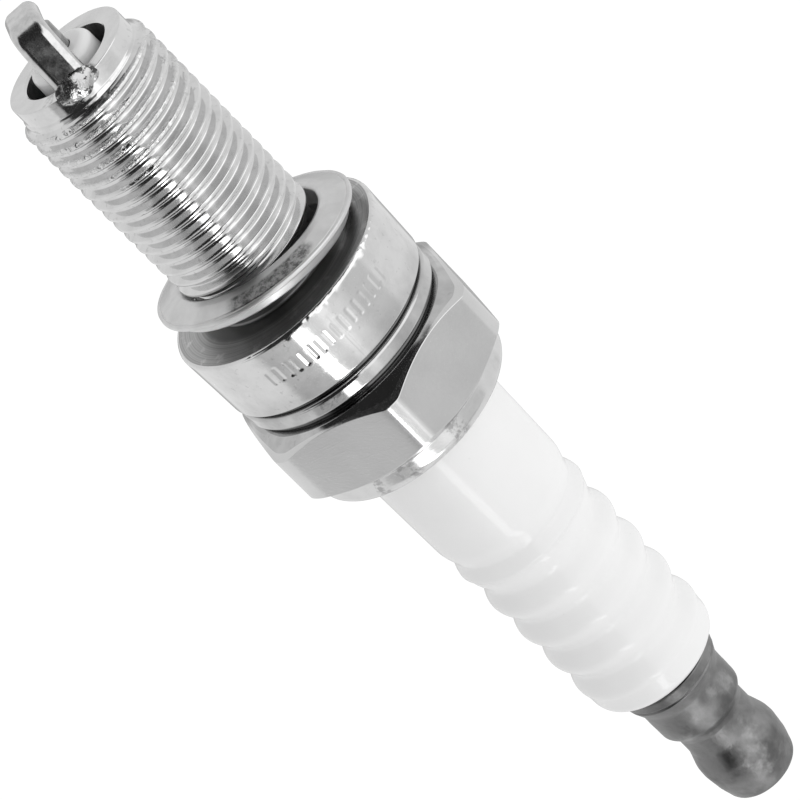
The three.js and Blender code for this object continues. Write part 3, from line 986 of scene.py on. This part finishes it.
def plated():
    """Bright plate: mirror-like, with faint haze and small dull spots.

    It has painted shade towards the collar's foot and in the grooves, and is bruised on the first
    turns.
    """
    n = material("bright plate")
    haze = n.noise(900)
    spots = n.span(n.noise(2600, 2, 0.5), 0.63, 0.72)
    color = n.mix(n.span(haze, 0.35, 0.75), grey(0.69), grey(0.62))
    color = n.mix(n.times(spots, 0.35), color, grey(0.42))
    z, radius = n.axis("Z"), n.radius()
    # painted shade: the plate darker towards the collar's foot and just below it, made patchy by noise
    collar_foot_shade = n.span_mm(z, COLLAR_FOOT_Z + 1.9, COLLAR_FOOT_Z + 0.3, 0.0, 0.32)
    under_foot_shade = n.span_mm(z, COLLAR_FOOT_Z, COLLAR_FOOT_Z - 0.3, 0.0, 0.3)
    patchy = n.span(n.noise(500, 3), 0.3, 0.7, 0.5, 1.0)
    color = n.mix(n.times(n.plus(collar_foot_shade, under_foot_shade), patchy), color, grey(0.3))
    # painted shade: the grooves beside the bead painted dark
    groove_shade = n.span_mm(radius, GROOVE_R + 0.04, BEAD_R - 0.12, 1.0, 0.0)
    groove_shade = n.times(groove_shade, n.span_mm(z, COLLAR_FOOT_Z, COLLAR_FOOT_Z - 0.1))
    groove_shade = n.times(groove_shade, n.span_mm(z, HEX_TOP_Z, HEX_TOP_Z + 0.02))
    color = n.mix(groove_shade, color, grey(0.12))
    rough = n.plus(n.span(haze, 0.3, 0.75, 0.07, 0.15), n.times(spots, 0.12))
    fine = n.bump(n.noise(4200, 3), 0.05, 0.03)
    normal = n.bump(n.noise(1100, 3), 0.12, 0.04, fine)
    worn = n.span_mm(z, REACH - 8, REACH - 4.5)
    worn = n.times(worn, n.span_mm(radius, THREAD_R - 0.3, THREAD_R - 0.1))
    worn = n.times(worn, n.span(n.noise(900, 3), 0.36, 0.5))
    normal = n.bump(n.times(worn, n.noise(3400, 4, 0.7)), 0.8, 0.11, normal)
    return n.shaded(color, rough, normal)


def plated_satin():
    """The crimped edge and the end face: the same plate, a little duller, with a few stains."""
    n = material("satin plate")
    haze = n.noise(700)
    smudge = n.span(n.noise(420, 3), 0.58, 0.72)
    color = n.mix(n.span(haze, 0.3, 0.7), grey(0.68), grey(0.62))
    color = n.mix(n.times(smudge, 0.35), color, grey(0.4))
    mottle = n.span(n.noise(1300, 4, 0.7), 0.46, 0.6)
    azimuth = n.azimuth()
    for turn in (10, -21, -38):
        away = n.math("ABSOLUTE", n.minus(azimuth, math.radians(turn) + CAMERA_AZIMUTH))
        stain = n.times(n.span(away, 0.05, 0.13, 0.6, 0.0), mottle)
        color = n.mix(stain, color, grey(0.25))
    rough = n.span(haze, 0.3, 0.75, 0.14, 0.22)
    return n.shaded(color, rough, n.bump(n.noise(3800, 4, 0.65), 0.16, 0.03))


def plated_flats():
    """The hexagon: even satin flats with a fine grain and faint scratches round the axis."""
    n = material("hexagon plate")
    grain = n.noise(5200, 4, 0.65)
    cloud = n.noise(260, 3, 0.5)
    color = n.mix(n.span(cloud, 0.3, 0.75), grey(0.66), grey(0.61))
    rough = n.span(grain, 0.3, 0.7, 0.13, 0.2)
    scratches = n.noise(60, 2, 0.5, n.mapped((6, 6, 90)))
    normal = n.bump(n.span(scratches, 0.62, 0.7), 0.05, 0.02, n.bump(grain, 0.14, 0.025))
    return n.shaded(color, rough, normal)


def turned_face():
    """The shoulder under the gasket: plate painted dark as shade under the gasket, darker still
    towards the neck, with fine turned rings and a few painted glints.
    """
    n = material("turned shoulder")
    radius = n.radius()
    lines = n.line_noise(radius, 9000, 3)
    # painted glints: pale spots standing in for highlights
    painted_glints = n.span(n.noise(900, 4, 0.65), 0.54, 0.66)
    # painted shade: the shoulder's dark grey stands in for the shade under the gasket
    color = n.mix(n.span(lines, 0.3, 0.7), grey(0.34), grey(0.5))
    color = n.mix(n.times(painted_glints, 0.6), color, grey(0.68))
    # painted shade, darker still towards the neck under the gasket
    color = n.mix(n.span_mm(radius, SHOULDER_R - 0.8, SHOULDER_R - 0.2, 1.0, 0.0), color, grey(0.2))
    normal = n.bump(n.noise(1500, 4, 0.65), 0.3, 0.05, n.bump(lines, 0.12, 0.03))
    return n.shaded(color, 0.4, normal)


def bore_metal():
    """Inside of the shell: dull, dark and slightly stained."""
    n = material("bore")
    stain = n.noise(800)
    color = n.mix(n.span(stain, 0.35, 0.7), grey(0.14), grey(0.28))
    return n.shaded(color, 0.45, n.bump(n.noise(2400, 3, 0.55), 0.2, 0.03))


def gasket_metal():
    """Plated sheet: satin, with a stippled dull patch on the side of the ground strap."""
    n = material("gasket")
    cloud = n.noise(500)
    color = n.mix(n.span(cloud, 0.3, 0.72), grey(0.68), grey(0.6))
    radius = n.radius()
    patch = n.span(n.math("ABSOLUTE", n.azimuth()), 0.42, 0.56, 1.0, 0.0)
    patch = n.times(patch, n.span_mm(radius, GASKET_R - 1.45, GASKET_R - 1.25))
    patch = n.times(patch, n.span_mm(radius, GASKET_R - 0.34, GASKET_R - 0.26, 1.0, 0.0))
    patch = n.times(patch, n.span_mm(n.axis("Z"), GASKET_Z + 1.2, GASKET_Z + 1.35))
    stipple = n.noise(2700, 3, 0.7)
    color = n.mix(n.times(patch, n.span(stipple, 0.35, 0.65, 0.4, 1.0)), color, grey(0.15))
    rough = n.span(cloud, 0.3, 0.7, 0.34, 0.42)
    normal = n.bump(n.times(stipple, n.plus(patch, 0.08)), 0.3, 0.04)
    return n.shaded(color, rough, normal)


def glaze():
    """White glazed alumina with a wet, slightly wavy surface and a few specks."""
    n = material("white glaze")
    cloud = n.noise(180, 3, 0.5)
    speck = n.span(n.noise(3000, 2, 0.5), 0.74, 0.8)
    color = n.mix(n.span(cloud, 0.3, 0.7), grey(0.905), grey(0.88))
    color = n.mix(n.times(speck, 0.25), color, grey(0.6))
    n.shade({"Coat Weight": 0.3, "Coat Roughness": 0.03, "Specular IOR Level": 0.2})
    return n.shaded(color, 0.35, n.bump(n.noise(420, 2, 0.5), 0.05, 0.04), metallic=0.0)


def nickel(name, light, dark):
    """Electrode alloy: smooth drawn wire with faint stains between two greys."""
    n = material(name)
    stain = n.noise(1300, 4, 0.65)
    color = n.mix(n.span(stain, 0.35, 0.7), grey(light), grey(dark))
    rough = n.span(stain, 0.3, 0.75, 0.12, 0.24)
    return n.shaded(color, rough, n.bump(n.noise(2600), 0.18, 0.04))


def weld_metal():
    """Weld bead: bright and burnt patches on a lumpy surface."""
    n = material("weld")
    burnt = n.noise(2400, 4, 0.65)
    color = n.mix(n.span(burnt, 0.5, 0.57), grey(0.5), grey(0.07))
    rough = n.span(burnt, 0.4, 0.7, 0.14, 0.4)
    return n.shaded(color, rough, n.bump(n.noise(2200, 4, 0.65), 0.5, 0.09))


def nut_metal():
    """Dull mottled metal with dark blooms, pale rubbed patches and fine pitting."""
    n = material("terminal nut")
    bloom = n.noise(330, 5, 0.62, distortion=0.4)
    pale = n.span(n.noise(420, vector=n.mapped((1, 1, 1), (0.31, 0.17, 0.4))), 0.55, 0.72)
    dark = n.span(n.noise(240, vector=n.mapped((1, 1, 1), (0.9, 0.2, 0.7))), 0.5, 0.68)
    color = n.mix(n.span(bloom, 0.3, 0.7), grey(0.15), grey(0.27))
    color = n.mix(n.times(dark, 0.65), color, grey(0.08))
    color = n.mix(n.times(pale, 0.6), color, grey(0.4))
    rough = n.span(bloom, 0.3, 0.7, 0.34, 0.5)
    pits = n.bump(n.noise(3600, 4, 0.7), 0.3, 0.04)
    return n.shaded(color, rough, n.bump(n.noise(900), 0.3, 0.08, pits))


def zinc():
    """Bright zinc on the terminal stud."""
    n = material("stud zinc")
    cloud = n.noise(900)
    color = n.mix(n.span(cloud, 0.3, 0.7), grey(0.6, 0.02), grey(0.48, 0.03))
    return n.shaded(color, 0.3, n.bump(n.noise(3000, 3, 0.55), 0.15, 0.03))


def inner_finish(name, low, high, metallic, roughness):
    """A plain mottled finish for the pieces that are sealed inside."""
    n = material(name)
    cloud = n.noise(1400)
    color = n.mix(n.span(cloud, 0.3, 0.7), low, high)
    rough = n.span(cloud, 0.3, 0.7, roughness - 0.08, roughness + 0.08)
    return n.shaded(color, rough, n.bump(n.noise(2600, 3, 0.55), 0.25, 0.04), metallic)


# ---- studio


def directions():
    """Unit vectors: to the camera, level towards its side, and level across the view."""
    c, s = math.cos(CAMERA_AZIMUTH), math.sin(CAMERA_AZIMUTH)
    front = Vector((s, -c, 0))
    across = Vector((c, s, 0))
    towards = front * math.cos(CAMERA_ELEVATION) + Vector((0, 0, math.sin(CAMERA_ELEVATION)))
    return towards, front, across


def studio_world():
    """White behind the plug, and a dark room in front with a grey card and bright strips.

    The world is laid out by direction only, in degrees round the axis from the camera's side
    and in degrees above the horizon. Matt surfaces are lit by an even white that is a little
    stronger on the right, and camera rays see plain white.
    """
    towards, front, across = directions()
    world = bpy.data.worlds.new("studio")
    world.cycles.sampling_method = "NONE"
    n = Nodes(world, "Generated")
    forward, up = n.along(towards), n.axis("Z")
    azimuth = n.math("ARCTAN2", n.along(across), n.along(front))

    def turned(low, high, *to, value=azimuth):
        return n.span(value, math.radians(low), math.radians(high), *to)

    def raised(low, high, *to):
        return n.span(up, math.sin(math.radians(low)), math.sin(math.radians(high)), *to)

    def window(low, high, soft, value=azimuth):
        rise = turned(low - soft, low + soft, value=value)
        return n.times(rise, turned(high - soft, high + soft, 1.0, 0.0, value=value))

    # the grey card, with a brighter second card and a slanting strip on it
    right = n.plus(turned(18, 42, 0.96, 0.73), turned(62, 72, 0.0, 0.13))
    left = turned(-62, -36, 0.61, 0.7)
    card = n.times(n.blend(turned(-31, -27), left, right), raised(-46, -30, 0.8, 1.0))
    card = n.plus(card, n.times(window(0, 12, 4), raised(-27, -23, 0.24, 0.8)))
    slope = math.radians(30)
    slant = n.math("MULTIPLY_ADD", up, slope, slope * math.sin(math.radians(28)))
    strip = n.times(window(-30, -18, 1.2, n.plus(azimuth, slant)), raised(-26, -24, 1.0, 0.0))
    card = n.blend(strip, card, 5.5)

    # the card stands low, and a panel hangs in the room above it
    panel = n.times(turned(-13, -8), raised(42, 58, 1.0, 0.0))
    room = n.blend(panel, 0.03, 1.5)
    sharp = raised(-25.7, -25, 1.0, 0.0)
    lower = n.blend(window(-60, -21, 3), raised(-24, -12, 1.0, 0.0), sharp)
    front_light = n.blend(lower, room, card)

    # the white behind, shaded low at the far side
    behind = n.plus(window(-210, -160, 6), window(160, 210, 6))
    shade = n.times(behind, n.span(up, 0.0, 0.2, 0.45, 0.0))
    back_light = n.minus(n.span(up, 0.0, 0.5, 0.92, 0.85), shade)

    # the room fills the half towards the camera, apart from a gap on the left
    in_front = n.span(n.minus(forward, n.times(n.span(up, 0.0, 0.6), 0.3)), 0.0, 0.09)
    left_gap = n.times(turned(-70, -50, 1.0, 0.0), raised(20, 40, 1.0, 0.0), raised(-18, -4))
    in_front = n.times(in_front, n.minus(1.0, left_gap))
    in_front = n.blend(lower, in_front, n.times(in_front, window(-76, 80, 2)))
    light = n.blend(in_front, back_light, front_light)

    path = n.node("LightPath")
    even = n.plus(n.along(across * 0.08 - Vector((0, 0, 0.2))), 0.765)
    light = n.blend(path.outputs["Is Diffuse Ray"], light, even)
    light = n.blend(path.outputs["Is Camera Ray"], light, 1.0)
    n.fill(n.tree.nodes["Background"], {"Color": grey(1), "Strength": light})
    bpy.context.scene.world = world


def soft_light(name, direction, size, energy):
    """A large soft lamp that lights the matt surfaces and leaves reflections to the studio."""
    distance = 0.5
    aim = Vector((0, 0, LIGHT_AIM_Z * MM))
    lamp = bpy.data.lights.new(name, "AREA")
    lamp.shape = "DISK"
    lamp.size = size
    lamp.energy = energy
    made = linked(name, lamp)
    made.location = direction.normalized() * distance + aim
    made.rotation_mode = "QUATERNION"
    made.rotation_quaternion = (-direction).to_track_quat("-Z", "Y")
    made.visible_glossy = False
    made.visible_camera = False


def studio_lights():
    """Lamps from the right and the left of the camera and from behind."""
    towards, front, across = directions()
    soft_light("key", towards + across * 0.9 - Vector((0, 0, 0.2)), 0.45, 0.6)
    soft_light("fill", towards - across * 0.9, 0.5, 0.15)
    soft_light("back", -front + across * 0.2 + Vector((0, 0, 0.3)), 0.5, 0.15)


def floor():
    """A floor that shows as plain white, low enough for the nut drawn off its stud."""
    half = 1.5
    z = FLOOR_Z * MM
    mesh = bpy.data.meshes.new("floor")
    corners = [(-half, -half, z), (half, -half, z), (half, half, z), (-half, half, z)]
    mesh.from_pydata(corners, [], [(0, 1, 2, 3)])
    white = material("floor white")
    white.shade({"Base Color": grey(0.05), "Roughness": 1.0, "Specular IOR Level": 0.0})
    white.shade({"Emission Color": grey(1), "Emission Strength": 1.0})
    mesh.materials.append(white.owner)
    made = linked("floor", mesh)
    made.visible_glossy = False
    made.visible_diffuse = False
    made.visible_shadow = False


def camera():
    """A long lens on the firing end's side, rolled so that the plug lies across the frame."""
    towards, _, across = directions()
    data = bpy.data.cameras.new("camera")
    data.lens = CAMERA_LENS
    data.sensor_width = 36
    data.clip_start = 0.01
    data.clip_end = 10
    made = linked("camera", data)
    upright = towards.cross(across)
    c, s = math.cos(CAMERA_ROLL), math.sin(CAMERA_ROLL)
    up = upright * c + across * s
    right = across * c - upright * s
    turn = Matrix((right, up, towards)).transposed()
    aim = Vector((0, 0, CAMERA_AIM_Z * MM))
    made.matrix_world = Matrix.Translation(aim + towards * CAMERA_DISTANCE * MM) @ turn.to_4x4()
    bpy.context.scene.camera = made


# ---- assembly


def place(made, body, slot_name, *nodes):
    """Says which body the piece rides on and the CAD nodes that it replaces; the slot name is not
    used.
    """
    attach(made, body)
    if nodes:
        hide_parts(*nodes)


def finish_inner_nodes(frame):
    """Gives the CAD pieces that stay, sealed inside the plug, their finishes."""
    inner = {
        "center_electrode_core": ("copper core", (0.55, 0.22, 0.1, 1), (0.7, 0.33, 0.18, 1), 1.0, 0.3),
        "lower_glass_seal": ("glass seal", grey(0.03), grey(0.08), 0.0, 0.3),
        "upper_glass_seal": ("upper seal", grey(0.03), grey(0.08), 0.0, 0.3),
        "resistor": ("resistor", grey(0.01), grey(0.03), 0.0, 0.6),
        "nose_packing_washer": ("washer steel", grey(0.4), grey(0.5), 1.0, 0.35),
        "lower_packing_ring": ("ring steel", grey(0.35), grey(0.5), 1.0, 0.35),
        "upper_packing_ring": ("upper ring", grey(0.35), grey(0.5), 1.0, 0.35),
        "talc_filling": ("talc", (0.62, 0.6, 0.55, 1), (0.78, 0.76, 0.72, 1), 0.0, 0.8),
    }
    for node, values in inner.items():
        mesh = frame["nodes"][node].data
        mesh.materials.clear()
        mesh.materials.append(inner_finish(*values))


def main():
    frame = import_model()

    shell = metal_shell([plated(), plated_satin(), plated_flats(), bore_metal(), turned_face()])
    place(shell, "plug_body", "plated_shell", "metal_shell")
    strap = ground_electrode([nickel("strap nickel", 0.62, 0.5)])
    place(strap, "plug_body", "electrode_nickel", "ground_electrode")
    place(weld_bead([weld_metal()]), "plug_body", "electrode_nickel")
    tip = center_electrode([nickel("tip nickel", 0.34, 0.24)])
    place(tip, "plug_body", "electrode_nickel", "center_electrode")
    place(insulator_body([glaze()]), "plug_body", "alumina", "insulator")
    place(terminal_stud([zinc()]), "plug_body", "stud_steel", "terminal_stud")
    place(sealing_gasket([gasket_metal()]), "gasket", "gasket_steel", "sealing_gasket")
    place(terminal_nut([nut_metal()]), "nut", "nut_cast", "terminal_nut")
    finish_inner_nodes(frame)

    floor()
    studio_world()
    studio_lights()
    camera()
    bpy.context.scene.view_settings.view_transform = "Standard"


main()
